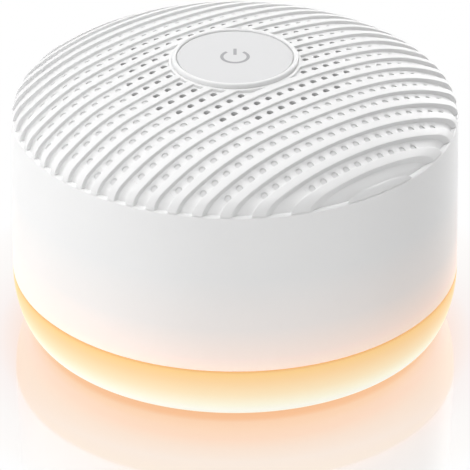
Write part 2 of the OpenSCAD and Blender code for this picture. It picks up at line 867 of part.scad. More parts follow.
// Small cable sockets on the four boards
module cable_sockets() {
    color("ivory") {
        translate([-main_w / 2 + 1, -socket_w / 2, main_top]) cube([socket_l, socket_w, socket_h]);
        translate([main_w / 2 - 1 - socket_l, -socket_w / 2, main_top])
            cube([socket_l, socket_w, socket_h]);
        translate([-socket_w / 2, main_back - socket_l / 2, main_top])
            cube([socket_w, socket_l, socket_h]);
        translate([light_in + 0.3, -socket_w / 2, light_top]) cube([socket_l, socket_w, socket_h]);
        translate([-socket_w / 2, side_board_y - board_t - socket_h, panel_z - side_board_h / 2 + 1])
            cube([socket_w, socket_h, socket_l]);
        for (a = lead_a) {
            around(a, lead_r) translate([-lead_socket_w / 2, -lead_socket_w / 2, main_top])
                cube([lead_socket_w, lead_socket_w, socket_h]);
        }
        translate([-top_board_r + 0.6, -socket_w / 2, top_board_z + board_t])
            cube([small_socket_l, socket_w, small_socket_h]);
    }
}

// Flat ribbon that follows a path in the XZ plane and has its width along Y
module ribbon(path) {
    t = ribbon_t / 2;
    for (i = [0:len(path) - 2]) {
        a = path[i];
        b = path[i + 1];
        low = [min(a[0], b[0]) - t, min(a[1], b[1]) - t];
        high = [max(a[0], b[0]) + t, max(a[1], b[1]) + t];
        translate([low[0], -ribbon_w / 2, low[1]])
            cube([high[0] - low[0], ribbon_w, high[1] - low[1]]);
    }
}

module ribbon_cables() {
    socket_mid = main_top + socket_h / 2;
    side_y = side_board_y - board_t - socket_h / 2;
    side_z = panel_z - side_board_h / 2 + 1;
    t = ribbon_t / 2;
    color("lightgray") {
        ribbon([
            [-top_board_r + 0.6 - t, ribbon_z + t], [ribbon_x, ribbon_z + t],
            [ribbon_x, socket_mid], [-main_w / 2 + 1 - t, socket_mid]
        ]);
        ribbon([
            [light_in + 0.3 - t, light_top + socket_h / 2], [light_ribbon_x, light_top + socket_h / 2],
            [light_ribbon_x, socket_mid], [main_w / 2 - 1 + t, socket_mid]
        ]);
        rotate([0, 0, 90])
            ribbon([
                [main_back + socket_l / 2 + t, socket_mid], [side_y, socket_mid], [side_y, side_z - t]
            ]);
    }
}

// Small screws of the main, side and top boards
module board_screws() {
    head = small_screw_d * 0.9;
    color("gray") {
        for (side = [-1, 1], y = main_screw_y) {
            translate([side * main_screw_x, y, main_top]) rotate([180, 0, 0])
                screw(small_screw_d, main_t + 1.4, head, 1);
        }
        for (side = [-1, 1]) {
            translate([side * side_post_x, side_board_y - board_t, panel_z]) rotate([-90, 0, 0])
                screw(small_screw_d, 5, head, 1);
            translate([0, side * top_screw_y, top_board_z + board_t]) rotate([180, 0, 0])
                screw(small_screw_d, board_t + 0.9, head, 1);
        }
    }
}

// White tray over the light chamber: it throws the light out and carries the main board
module light_reflector() {
    tray_r = body_r - side_wall - 2.4;
    color("white") difference() {
        union() {
            translate([0, 0, boss_top]) cylinder(r = tray_r, h = tray_t);
            tube(light_in + 3, light_in + 2, light_top + 0.1, boss_top + eps);
            for (side = [-1, 1], y = main_screw_y) {
                translate([side * main_screw_x, y, tray_top - eps])
                    cylinder(r = standoff_r, h = main_z - tray_top + eps);
            }
        }
        for (side = [-1, 1], y = main_screw_y) {
            translate([side * main_screw_x, y, boss_top - 1])
                cylinder(d = small_screw_d + 2 * pilot_gap, h = 9);
        }
        for (a = [0:90:270]) {
            around(base_screw_a + a, base_post_x) translate([0, 0, boss_top - 1])
                cylinder(d = case_screw_d + 2 * bore_gap, h = tray_t + 2);
        }
        translate([light_ribbon_x - 1, -ribbon_w / 2 - 0.5, light_top])
            cube([2, ribbon_w + 1, tray_top - light_top + 1]);
        translate([light_in, -socket_w / 2 - seat_gap, light_top])
            cube([socket_l + 1, socket_w + 2 * seat_gap, socket_h + 0.5]);
    }
}

module light_board() {
    color("white") difference() {
        tube(light_out, light_in, light_z, light_top);
        for (a = [0:90:270]) {
            around(base_screw_a + a, base_post_x) translate([0, 0, light_z - 1])
                cylinder(r = boss_r + 0.5, h = board_t + 2);
        }
    }
}

module leds() {
    color("lightyellow") for (i = [0:led_count - 1]) {
        around(i * 360 / led_count, led_r) translate([-led_w / 2, -led_l / 2, light_top])
            cube([led_w, led_l, led_h]);
    }
}

// Outer radius of the light ring at height z
function ring_at(z) = foot_r + ring_tuck * sqrt(1 - ((ring_top - z) / ring_h) ^ 2);

// Quarter ellipse of the light ring's side, moved in by inset, from angle a0 to angle a1
function ring_curve(inset, a0, a1) = [
    for (i = [0:16]) let (a = a0 + (a1 - a0) * i / 16)
        [foot_r - inset + ring_tuck * cos(a), ring_top - ring_h * sin(a)]
];

module light_ring() {
    lip_in = ring_lip_r - lip_t;
    web_t = 1.6;
    color([1, 0.86, 0.66]) difference() {
        union() {
            rotate_extrude($fn = 128) polygon(concat(ring_curve(0, 0, 90), ring_curve(ring_wall, 90, 0)));
            tube(body_r - ring_wall / 2, lip_in, ring_top - web_t, ring_top);
            tube(ring_lip_r, lip_in, ring_top - web_t, ring_top + ring_lip_h);
            tube(ring_at(base_z + base_t) - 0.5, ledge_in, base_z + base_t, base_z + base_t + ledge_t);
        }
        for (a = [0:90:270]) {
            around(base_screw_a + a, base_post_x) translate([0, 0, base_z + base_t - 1])
                cylinder(r = boss_r + slip_gap, h = ledge_t + 2);
        }
    }
}

module base_plate() {
    color("white") difference() {
        union() {
            translate([0, 0, base_z]) cylinder(r = plate_r, h = base_t);
            for (a = [0:90:270]) {
                around(base_screw_a + a, base_post_x) translate([0, 0, base_z])
                    cylinder(r = boss_r, h = boss_top - base_z);
            }
            for (a = [0:60:300]) {
                around(a, light_in + 4) translate([0, 0, base_z])
                    cylinder(r = light_post_r, h = light_z - base_z);
            }
        }
        for (a = [0:90:270]) {
            around(a, foot_x) translate([0, 0, base_z - 1])
                cylinder(d = foot_d + 2 * slip_gap, h = 1 + foot_sink);
            around(base_screw_a + a, base_post_x) {
                translate([0, 0, base_z - 1]) cylinder(r = head_r + slip_gap, h = head_seat - base_z + 1);
                cylinder(d = case_screw_d + 2 * bore_gap, h = ring_top);
            }
        }
    }
}

// Rubber feet, sunk in round recesses
module rubber_feet() {
    color("dimgray") for (a = [0:90:270]) {
        around(a, foot_x) cylinder(d = foot_d, h = foot_stand + foot_sink);
    }
}

module base_screws() {
    color("gray") for (a = [0:90:270]) {
        around(base_screw_a + a, base_post_x) translate([0, 0, head_seat])
            screw(case_screw_d, base_screw_l, head_r, head_h);
    }
}

grille_cover();
dust_cloth();
trim_ring();
power_button();
power_plunger();
top_board();
top_switch();
speaker_gasket();
speaker_basket();
speaker_surround();
speaker_cone();
speaker_dust_cap();
speaker_spider();
voice_coil();
speaker_magnet();
speaker_yoke();
speaker_top_plate();
speaker_screws();
speaker_leads();
body_shell();
cover_screws();
timer_button();
light_button();
volume_down_button();
volume_up_button();
sound_back_button();
sound_next_button();
timer_plunger();
light_plunger();
volume_down_plunger();
volume_up_plunger();
sound_back_plunger();
sound_next_plunger();
side_board();
side_switches();
usb_socket();
usb_tongue();
main_board();
main_chips();
cable_sockets();
ribbon_cables();
board_screws();
light_reflector();
light_board();
leds();
light_ring();
base_plate();
rubber_feet();
base_screws();
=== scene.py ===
import json
import math

import bmesh
import bpy
import numpy as np
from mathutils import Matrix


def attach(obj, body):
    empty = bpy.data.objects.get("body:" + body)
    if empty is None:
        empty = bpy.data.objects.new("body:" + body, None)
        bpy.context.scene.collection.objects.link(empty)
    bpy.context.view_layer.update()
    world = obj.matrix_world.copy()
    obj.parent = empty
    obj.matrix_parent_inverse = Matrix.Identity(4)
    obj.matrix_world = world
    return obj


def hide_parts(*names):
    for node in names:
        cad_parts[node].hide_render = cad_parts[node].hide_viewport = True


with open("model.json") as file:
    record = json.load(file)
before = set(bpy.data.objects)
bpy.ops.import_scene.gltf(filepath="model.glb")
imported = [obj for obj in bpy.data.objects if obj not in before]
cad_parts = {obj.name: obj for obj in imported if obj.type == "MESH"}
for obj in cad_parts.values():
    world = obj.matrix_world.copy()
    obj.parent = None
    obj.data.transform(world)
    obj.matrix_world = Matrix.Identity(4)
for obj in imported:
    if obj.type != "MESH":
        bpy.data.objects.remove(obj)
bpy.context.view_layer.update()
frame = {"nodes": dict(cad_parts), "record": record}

nodes = frame["nodes"]
slotOf = {part["node"]: part["material_slot"] for part in frame["record"]["subparts"]}
mm = 0.001
print("frame loaded:", len(nodes), "nodes")


# One output socket. Sums and products of wires add Math nodes to the same tree.
class Wire:
    def __init__(self, tree, socket=None):
        self.tree = tree
        self.socket = socket

    # Adds any node: its settings first, then the values or wires of its inputs
    def node(self, kind, settings=None, inputs=None, output=0):
        made = self.tree.nodes.new(kind)
        for key, value in (settings or {}).items():
            if key == "stops":
                ramp = made.color_ramp
                while len(ramp.elements) < len(value):
                    ramp.elements.new(0.5)
                for element, (place, colour) in zip(ramp.elements, value):
                    element.position = place
                    element.color = (*colour, 1) if len(colour) == 3 else colour
            else:
                setattr(made, key, value)
        for key, value in (inputs or {}).items():
            if isinstance(value, Wire):
                self.tree.links.new(value.socket, made.inputs[key])
            else:
                made.inputs[key].default_value = value
        return Wire(self.tree, made.outputs[output])

    def maths(self, operation, *values):
        return self.node("ShaderNodeMath", {"operation": operation}, dict(enumerate(values)))

    def __add__(self, other):
        return self.maths("ADD", self, other)

    def __sub__(self, other):
        return self.maths("SUBTRACT", self, other)

    def __rsub__(self, other):
        return self.maths("SUBTRACT", other, self)

    def __mul__(self, other):
        return self.maths("MULTIPLY", self, other)

    def __truediv__(self, other):
        return self.maths("DIVIDE", self, other)

    __radd__ = __add__
    __rmul__ = __mul__

    # 0 below low, 1 above high, smooth in between
    def step(self, low, high):
        return self.node(
            "ShaderNodeMapRange", {"interpolation_type": "SMOOTHSTEP"},
            {"Value": self, "From Min": low, "From Max": high},
        )

    # This colour where the mask is 0, the other colour where it is 1
    def mix(self, mask, first, second):
        return self.node(
            "ShaderNodeMix", {"data_type": "RGBA"}, {"Factor": mask, 6: first, 7: second}, 2
        )


def rgba(colour):
    return (*colour, 1.0)


# New material with its shader's plain values, and a wire of the piece's own coordinates
def newFinish(name, colour, roughness, metallic=0.0, coat=0.0, gloss=0.5):
    material = bpy.data.materials.new(name)
    material.use_nodes = True
    tree = material.node_tree
    shader = tree.nodes["Principled BSDF"]
    shader.inputs["Base Color"].default_value = rgba(colour)
    shader.inputs["Roughness"].default_value = roughness
    shader.inputs["Metallic"].default_value = metallic
    shader.inputs["Coat Weight"].default_value = coat
    shader.inputs["Coat Roughness"].default_value = 0.2
    shader.inputs["IOR"].default_value = 1.46
    shader.inputs["Specular IOR Level"].default_value = gloss
    place = Wire(tree).node("ShaderNodeTexCoord", output=3)
    return material, shader, place


def noise(place, scale, detail=3.0, rough=0.5, stretch=None):
    at = place
    if stretch:
        at = place.node("ShaderNodeMapping", {}, {"Vector": place, "Scale": stretch})
    return place.node(
        "ShaderNodeTexNoise", {}, {"Vector": at, "Scale": scale, "Detail": detail, "Roughness": rough}
    )


def plug(shader, name, wire):
    wire.tree.links.new(wire.socket, shader.inputs[name])


def bumpFrom(shader, height, distance, strength=1.0):
    bump = height.node(
        "ShaderNodeBump", {}, {"Height": height, "Distance": distance, "Strength": strength}
    )
    plug(shader, "Normal", bump)


# Moulded plastic: a fine spark-eroded grain, slight flow clouds in the colour and some handling sheen
def mouldedPlastic(name, colour, roughness, grain=0.5, cloud=0.02, coat=0.0):
    material, shader, place = newFinish(name, colour, roughness, coat=coat)
    clouds = noise(place, 45.0, 2.0)
    dark = tuple(max(0.0, c - cloud) for c in colour)
    light = tuple(min(1.0, c + cloud) for c in colour)
    plug(shader, "Base Color", place.mix(clouds, rgba(dark), rgba(light)))
    fine = noise(place, 2600.0, 2.0, 0.6)
    plug(shader, "Roughness", (fine - 0.5) * 0.08 + (clouds - 0.5) * 0.06 + roughness)
    bumpFrom(shader, fine, 0.00001 * grain)
    return material


# Pressed or plated metal: brushed streaks along one axis and cloudy plating
def platedMetal(name, colour, roughness, stretch=(1.0, 1.0, 12.0)):
    material, shader, place = newFinish(name, colour, roughness, metallic=1.0)
    streaks = noise(place, 900.0, 3.0, 0.6, stretch)
    clouds = noise(place, 120.0)
    dark = tuple(c * 0.82 for c in colour)
    plug(shader, "Base Color", place.mix(clouds, rgba(dark), rgba(colour)))
    plug(shader, "Roughness", (streaks - 0.5) * 0.25 + roughness)
    bumpFrom(shader, streaks, 0.000008)
    return material


# Woven cloth: two crossed sets of threads from sine waves, with fuzz
def wovenCloth(name, colour, pitch, roughness=0.9):
    material, shader, place = newFinish(name, colour, roughness)
    parts = place.node("ShaderNodeSeparateXYZ", {}, {"Vector": place})
    across = Wire(place.tree, parts.socket.node.outputs[0])
    along = Wire(place.tree, parts.socket.node.outputs[1])
    turns = 2.0 * math.pi / pitch
    warp = across.maths("SINE", across * turns)
    weft = along.maths("SINE", along * turns)
    weave = (warp * weft) * 0.5 + 0.5
    fuzz = noise(place, 1800.0)
    dark = tuple(c * 0.5 for c in colour)
    plug(shader, "Base Color", place.mix(weave * 0.7 + fuzz * 0.3, rgba(dark), rgba(colour)))
    bumpFrom(shader, weave + fuzz * 0.4, 0.00006)
    return material


# Circuit board: solder mask over copper tracks, which show as slightly raised lighter lines
def circuitBoard(name, mask, track):
    material, shader, place = newFinish(name, mask, 0.35, coat=0.3)
    cells = place.node(
        "ShaderNodeTexVoronoi", {"distance": "CHEBYCHEV", "feature": "F1"},
        {"Vector": place, "Scale": 420.0},
    )
    tracks = cells.step(0.30, 0.34) * (1.0 - cells.step(0.46, 0.5))
    weave = noise(place, 1500.0)
    plug(shader, "Base Color", place.mix(tracks * 0.6 + weave * 0.15, rgba(mask), rgba(track)))
    plug(shader, "Roughness", (weave - 0.5) * 0.15 + 0.35)
    bumpFrom(shader, tracks, 0.00003)
    return material


# Sintered or fibrous stuff: coarse and fine noise in colour and relief
def grainyStuff(name, colour, roughness, scale, depth, contrast=0.35):
    material, shader, place = newFinish(name, colour, roughness)
    coarse = noise(place, scale, 4.0, 0.65)
    dark = tuple(c * (1.0 - contrast) for c in colour)
    light = tuple(min(1.0, c * (1.0 + contrast)) for c in colour)
    plug(shader, "Base Color", place.mix(coarse, rgba(dark), rgba(light)))
    plug(shader, "Roughness", (coarse - 0.5) * 0.2 + roughness)
    bumpFrom(shader, coarse, depth)
    return material


# Corner numbers of the quads of a grid of points, rows by columns
def gridFaces(rows, columns, wrapRows=False, wrapColumns=False, first=0):
    i = np.arange(rows if wrapRows else rows - 1)[:, None]
    j = np.arange(columns if wrapColumns else columns - 1)[None, :]
    nextI = (i + 1) % rows
    nextJ = (j + 1) % columns
    corners = [i * columns + j, nextI * columns + j, nextI * columns + nextJ, i * columns + nextJ]
    return np.stack(np.broadcast_arrays(*corners), -1).reshape(-1, 4) + first


# Puts points in millimetres and faces into one mesh, closes its seams and sets what it rides on
def addPiece(name, sheets, body, material, sharp=40.0, weld=0.0008):
    points = []
    faces = []
    for sheetPoints, sheetFaces in sheets:
        base = sum(len(p) for p in points)
        points.append(np.asarray(sheetPoints, float).reshape(-1, 3))
        for group in sheetFaces:
            faces += (np.asarray(group) + base).tolist()
    mesh = bpy.data.meshes.new(name)
    mesh.from_pydata((np.concatenate(points) * mm).tolist(), [], faces)
    work = bmesh.new()
    work.from_mesh(mesh)
    bmesh.ops.remove_doubles(work, verts=work.verts, dist=weld * mm)
    work.to_mesh(mesh)
    work.free()
    mesh.validate()
    mesh.shade_smooth()
    mesh.set_sharp_from_angle(angle=math.radians(sharp))
    piece = bpy.data.objects.new(name, mesh)
    bpy.context.scene.collection.objects.link(piece)
    piece.data.materials.append(material)
    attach(piece, body)
    return piece


# Profile with its corners rounded: each corner (r, z, radius) gives way to an arc that is
# tangent to both sides, worked out from the half angle between them
def roundedProfile(corners, steps=5, closed=True):
    corners = np.asarray(corners, float)
    count = len(corners)
    path = []
    for k in range(count):
        here = corners[k, :2]
        radius = corners[k, 2]
        ends = not closed and k in (0, count - 1)
        if radius <= 0 or ends:
            path.append(here[None])
            continue
        back = corners[k - 1, :2] - here
        ahead = corners[(k + 1) % count, :2] - here
        back /= np.linalg.norm(back)
        ahead /= np.linalg.norm(ahead)
        half = math.acos(np.clip(back @ ahead, -1, 1)) / 2
        reach = radius / math.tan(half)
        middle = here + (back + ahead) / np.linalg.norm(back + ahead) * radius / math.sin(half)
        start = here + back * reach - middle
        end = here + ahead * reach - middle
        sweep = math.pi - 2 * half
        t = np.linspace(0, 1, steps + 1)[:, None]
        arc = np.sin((1 - t) * sweep) * start + np.sin(t * sweep) * end
        path.append(middle + arc / math.sin(sweep))
    return np.concatenate(path)


# Surface of revolution: the profile point (r, z) at angle a is (r cos a, r sin a, z).
# A profile that runs up on the outside and inwards over the top faces outwards.
def lathe(profile, steps=192, closed=True):
    profile = np.asarray(profile, float)
    a = np.linspace(0, 2 * math.pi, steps, endpoint=False)[:, None]
    r, z = profile[:, 0][None], profile[:, 1][None]
    points = np.stack(np.broadcast_arrays(r * np.cos(a), r * np.sin(a), z), -1)
    return points, [gridFaces(steps, len(profile), True, closed)]


# Grille cover: the dome, its grooves and ridges, the holes and the land in the middle
grille = dict(
    rimR=49.3, domeZ=50.55, shoulderR=5.0, shoulderA=34.2, haunchR=43.9, crownA=10.6,
    grooveDepth=0.5, grooveSide=0.85, seamZ=51.35, skin=1.9,
    turn=39.7, pitch=4.285, ridgeW=1.69, firstEdge=45.9, endBand=48.1, edgeRound=0.14, bandRound=0.6,
    scoopTop=0.1, scoopRim=0.32, scoopEnd=0.25,
    holeR=0.75, holePitch=3.2, holeRing=15.65, openR=25.2, dimpleR=46.2, dimpleDepth=0.4, holeEdge=0.06,
    landR=14.6, landH=1.5, landRound=0.25, landUnder=14.7, trimOut=13.9, trimSeat=62.39, seamGap=0.14,
    wellR=13.15, wellFloor=57.09, wellT=1.2, wellHole=8.5,
    lipOut=46.6, lipIn=44.9, lipZ=47.35, lipTop=51.4,
    foot=9.0, bandStart=0.15, overlap=0.25, underFloor=0.1, mostReach=1.25, leastGap=0.05, hair=0.002,
)


# Height of the dome at radius r: a shoulder arc, a haunch arc and a crown arc that meet smoothly
def domeHeight(r, rimR, startZ):
    g = grille
    sa, ca = math.radians(g["shoulderA"]), math.radians(g["crownA"])
    x1 = rimR - g["shoulderR"] + g["shoulderR"] * math.sin(sa)
    hx, hz = x1 - g["haunchR"] * math.sin(sa), startZ + (g["shoulderR"] - g["haunchR"]) * math.cos(sa)
    x2 = hx + g["haunchR"] * math.sin(ca)
    crownR = x2 / math.sin(ca)
    crownMid = hz + g["haunchR"] * math.cos(ca) - crownR * math.cos(ca)
    crown = crownMid + np.sqrt(np.maximum(crownR ** 2 - r ** 2, 0))
    haunch = hz + np.sqrt(np.maximum(g["haunchR"] ** 2 - (r - hx) ** 2, 0))
    shoulder = startZ + np.sqrt(np.maximum(g["shoulderR"] ** 2 - (r - rimR + g["shoulderR"]) ** 2, 0))
    return np.where(r < x2, crown, np.where(r < x1, haunch, shoulder))


def ridgeTop(q, s):
    return domeHeight(np.hypot(q, s), grille["rimR"], grille["domeZ"])


# A groove's floor is hollowed across its width, more so towards the shoulder
def grooveFloor(q, s):
    g = grille
    r = np.hypot(q, s)
    across = (q - np.round(q / g["pitch"]) * g["pitch"]) / ((g["pitch"] - g["ridgeW"]) / 2)
    scoop = g["scoopTop"] + (g["scoopRim"] - g["scoopTop"]) * np.clip(r / g["rimR"], 0, 1) ** 3
    scoop = np.where(np.abs(q) > g["firstEdge"] - 0.1, g["scoopEnd"], scoop)
    floor = domeHeight(r, g["rimR"] - g["grooveSide"], g["domeZ"] - g["grooveDepth"])
    return floor - scoop * np.maximum(1 - across ** 8, 0)


# Radius at which a dome's shoulder comes down to height z
def rimAt(rimR, startZ, z):
    ball = grille["shoulderR"]
    return rimR - ball + math.sqrt(ball ** 2 - (z - startZ) ** 2)


# From ridge axes to the frame: s runs along the ridges, q across them
def toFrame(q, s, z):
    a = math.radians(grille["turn"])
    x = s * math.cos(a) + q * math.sin(a)
    y = s * math.sin(a) - q * math.cos(a)
    return np.stack(np.broadcast_arrays(x, y, z), -1)


topR = rimAt(grille["rimR"], grille["domeZ"], grille["seamZ"] + grille["seamGap"])
floorR = rimAt(
    grille["rimR"] - grille["grooveSide"], grille["domeZ"] - grille["grooveDepth"],
    grille["seamZ"] - grille["underFloor"]
)


# One ridge: stations across it go up one wall, round its edge, over the dome, and down the other
# side. A station at depth d lies on the straight line from the dome to the groove floor. Along the
# ridge, s goes as the sine of the step, so the points crowd together at the steep shoulder.
# A band at an end of the pattern has one wall only and runs out at the rim.
def ridgeSheet(low, high, start, end):
    g = grille
    band = high >= topR or low <= -topR
    e = g["bandRound"] if band else g["edgeRound"]
    deep = g["foot"]
    turn = np.radians([0, 25, 50, 75, 90])
    side = e * (1 - np.cos(turn))
    drop = e * (1 - np.sin(turn))
    q = np.concatenate([[low], low + side, [(low + high) / 2], high - side[::-1], [high]])
    depth = np.concatenate([[deep], drop, [0], drop[::-1], [deep]])
    if high >= topR:
        q = np.concatenate([[low], low + side, np.linspace(low + e + 0.1, high, 5)])
        q = np.minimum(q, topR - g["hair"])
        depth = np.concatenate([[deep], drop, np.zeros(5)])
    if low <= -topR:
        q = np.concatenate([np.linspace(low, high - e - 0.1, 5), high - side[::-1], [high]])
        q = np.maximum(q, -topR + g["hair"])
        depth = np.concatenate([np.zeros(5), drop[::-1], [deep]])
    q = q[:, None]
    depth = depth[:, None]
    half = start == 0 or end == 0
    u = np.sin(np.linspace(start, end, 57 if half else 113) * math.pi / 2)[None]
    outReach = np.sqrt(np.maximum(topR ** 2 - q ** 2, 0))
    inReach = np.sqrt(np.maximum(floorR ** 2 - q ** 2, 0))
    inner = np.sqrt(np.maximum((g["landR"] - g["overlap"]) ** 2 - q ** 2, 0)) if half else 0 * q
    way = 1.0 if end > 0 else -1.0
    outS = way * inner + u * (outReach - inner)
    inS = way * inner + u * (inReach - inner)
    outer = toFrame(q, outS, ridgeTop(q, outS))
    below = toFrame(q, inS, np.maximum(grooveFloor(q, inS), g["seamZ"]))
    gap = np.maximum(np.linalg.norm(outer - below, axis=-1, keepdims=True), g["leastGap"])
    share = np.minimum(depth[..., None] / gap, g["mostReach"])
    # The last rows turn in under the ridge's end, so that it stands clear of the wall's rim
    points = outer + (below - outer) * share
    lip = [(0.10, 0.05), (0.28, 0.09), (deep, 0.09)]
    tails = []
    for inward, fall in lip:
        for edge, last in ((0, start != 0), (-1, end != 0)):
            if last:
                reach = np.minimum(np.maximum(depth, inward)[..., None] / gap[:, [edge]], g["mostReach"])
                row = outer[:, [edge]] + (below[:, [edge]] - outer[:, [edge]]) * reach
                row[..., 2] = np.minimum(row[..., 2], outer[:, [edge], 2] - fall)
                tails.append((edge, row))
    for edge, row in tails:
        points = np.concatenate([row, points] if edge == 0 else [points, row], 1)
    return points, [gridFaces(points.shape[0], points.shape[1])]


def ridgeSheets():
    g = grille
    count = int((g["firstEdge"] + g["endBand"]) // g["pitch"]) + 1
    sheets = []
    for k in range(count):
        high = g["firstEdge"] - k * g["pitch"]
        low = high - g["ridgeW"]
        if min(abs(high), abs(low)) < g["landR"] - g["overlap"] or high * low < 0:
            sheets += [ridgeSheet(low, high, 0, 1), ridgeSheet(low, high, -1, 0)]
        else:
            sheets.append(ridgeSheet(low, high, -1, 1))
    bandQ = g["endBand"] + g["bandStart"]
    sheets += [ridgeSheet(bandQ, topR + 1, -1, 1), ridgeSheet(-topR - 1, -bandQ, -1, 1)]
    return sheets


# A tile of groove floor with one hole: rings of 16 points go from the tile's edge to a circle and
# then down, as a straight hole or as a round dimple. Each point keeps its depth under the floor.
def tilePattern(through, halfS, halfQ):
    r, deep = grille["holeR"], grille["dimpleDepth"]
    angle = np.radians(22.5) * np.arange(16)
    edgeS = np.array([1, 1, 1, 0.5, 0, -0.5, -1, -1, -1, -1, -1, -0.5, 0, 0.5, 1, 1]) * halfS
    edgeQ = np.array([0, 0.8, 1, 1, 1, 1, 1, 0.8, 0, -0.8, -1, -1, -1, -1, -1, -0.8]) * halfQ
    rings = [(edgeS, edgeQ, 0.0)]
    rim = r + grille["holeEdge"]
    straight = [(rim, 0.0), (r, 0.07), (r, grille["skin"])]
    dimple = [(rim, 0.0), (r, 0.08), (r * 0.96, deep * 0.85), (r * 0.75, deep)]
    for radius, drop in straight if through else dimple:
        rings.append((radius * np.cos(angle), radius * np.sin(angle), drop))
    s = np.array([ring[0] for ring in rings])
    q = np.array([ring[1] for ring in rings])
    d = np.array([np.full(16, ring[2]) for ring in rings])
    return s, q, d


# The groove floors, and apart from them the walls of the holes and the cups of the dimples, which carry
# painted shade
def holeSheets():
    g = grille
    halfS, halfQ = g["holePitch"] / 2, (g["pitch"] - g["ridgeW"]) / 2 + g["holeEdge"]
    across = np.array([-1, -0.86, -0.6, 0, 0.6, 0.86, 1])[:, None] * halfQ
    sheets = []
    walls = []
    spots = {True: [], False: []}
    rows = int(g["dimpleR"] // g["pitch"]) + 1
    for i in range(-rows, rows + 1):
        middle = i * g["pitch"]
        ring = abs(middle) < g["holeRing"]
        first = math.sqrt(g["holeRing"] ** 2 - middle ** 2) if ring else halfS
        s = first + np.arange(16) * g["holePitch"]
        s = s[np.hypot(s, middle) < g["dimpleR"]]
        q = middle + across
        limit = np.sqrt(np.maximum(floorR ** 2 - q ** 2, 0))
        inner = np.sqrt(np.maximum(g["trimOut"] ** 2 - q ** 2, 0))
        for way in (1, -1):
            begin = inner if ring else 0 * q
            stop = s[-1] + halfS if len(s) else 0.0
            if len(s):
                for spot in s:
                    spots[bool(math.hypot(spot, middle) < g["openR"])].append((middle, way * spot))
                if ring and first - halfS > float(inner.min()):
                    t = np.linspace(0, 1, 9)[None]
                    low = np.minimum(begin, first - halfS)
                    along = way * (low + (first - halfS - low) * t)
                    sheets.append(floorSheet(q, along, way))
            u = np.sin(np.linspace(0, 1, 40) * math.pi / 2)[None]
            along = way * (stop + np.maximum(limit - stop, 0.0) * u)
            sheets.append(floorSheet(q, along, way))
    for through, places in spots.items():
        places = np.array(places)
        pattern = tilePattern(through, halfS, halfQ)
        sheets.append(copiesAt(places, *(rings[:3] for rings in pattern)))
        points, faces = copiesAt(places, *(rings[2:] for rings in pattern))
        if not through:
            size = pattern[0][2:].size
            faces.append(np.arange(size - 16, size)[None] + np.arange(len(places))[:, None] * size)
        walls.append((points, faces))
    return sheets, walls


# The same rings of points at every place, each laid on the groove floor
def copiesAt(places, s, q, d):
    allQ = places[:, 0][:, None, None] + q[None]
    allS = places[:, 1][:, None, None] + s[None]
    points = toFrame(allQ, allS, grooveFloor(allQ, allS) - d[None])
    base = (np.arange(len(places)) * s.size)[:, None, None]
    faces = (gridFaces(len(s), 16, False, True)[None] + base).reshape(-1, 4)
    return points, [faces]


# Plain strip of groove floor between two places along a groove
def floorSheet(q, s, way):
    points = toFrame(q, s, grooveFloor(q, s))
    if way < 0:
        points = points[:, ::-1]
    return points, [gridFaces(points.shape[0], points.shape[1])]


# Land round the trim ring, the well for the button and the inner lip at the foot of the cover
def landSheets():
    g = grille
    top = float(ridgeTop(0, g["trimOut"]))
    edge = float(ridgeTop(0, g["landR"]))
    bore = g["trimOut"] + 0.05
    land = roundedProfile([
        (g["landR"], edge - g["landH"], 0), (g["landR"], edge, g["landRound"]), (bore, top, 0.08),
        (bore, g["trimSeat"], 0), (g["wellR"], g["trimSeat"], 0), (g["wellR"], g["wellFloor"], 0),
        (g["wellHole"], g["wellFloor"], 0), (g["wellHole"], g["wellFloor"] - g["wellT"], 0),
        (g["landUnder"], g["wellFloor"] - g["wellT"], 0),
    ])
    lip = [
        (g["lipOut"], g["lipZ"]), (g["lipOut"], g["lipTop"]),
        (g["lipIn"], g["lipTop"]), (g["lipIn"], g["lipZ"]),
    ]
    return [lathe(land), lathe(lip)]


whiteShell = mouldedPlastic("whiteShell", (0.78, 0.78, 0.78), 0.5, grain=0.5, cloud=0.006)
grilleWhite = mouldedPlastic("grilleWhite", (0.73, 0.73, 0.73), 0.48, grain=0.5, cloud=0.006)
# Painted shade: the walls of the holes and the cups of the dimples get a darker grey than the grille,
# standing in for the shade inside them
holeShade = mouldedPlastic("holeShade", (0.64, 0.64, 0.64), 0.7, grain=0.5, cloud=0.02)

ridgesPiece = addPiece("grilleRidges", ridgeSheets(), "case", grilleWhite, 50)
floorSheets, holeWalls = holeSheets()
floorPiece = addPiece("grilleFloor", floorSheets, "case", grilleWhite, 50)
wallPiece = addPiece("grilleHoles", holeWalls, "case", holeShade, 50)
landPiece = addPiece("grilleLand", landSheets(), "case", grilleWhite, 40)
for piece in (ridgesPiece, floorPiece, wallPiece, landPiece):
    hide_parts("grille_cover")
print("grille made:", len(ridgesPiece.data.polygons), len(floorPiece.data.polygons), "faces")


# Button and trim ring in the middle of the grille
knob = dict(
    faceZ=64.54, capR=12.77, capT=1.3, skirtR=12.4, skirtIn=11.4, skirtH=2.3, stemR=1.6, stemZ=61.59,
    faceRound=0.3, footRound=0.1,
)
trim = dict(inR=12.95, lowR=12.83, step=0.75, outR=13.9, footZ=62.39, topZ=64.84, round=0.42)
powerSign = dict(ringR=2.9, half=0.36, lift=0.02, openAngle=38, barLow=0.9, barL=3.0)


def makeTrim():
    t = trim
    profile = roundedProfile([
        (t["lowR"], t["footZ"], 0), (t["outR"], t["footZ"], 0), (t["outR"], t["topZ"], t["round"]),
        (t["inR"], t["topZ"], t["round"]), (t["inR"], t["topZ"] - t["step"], 0),
        (t["lowR"], t["topZ"] - t["step"], 0),
    ])
    piece = addPiece("trimRing", [lathe(profile, 256)], "case", grilleWhite, 40)
    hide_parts("trim_ring")


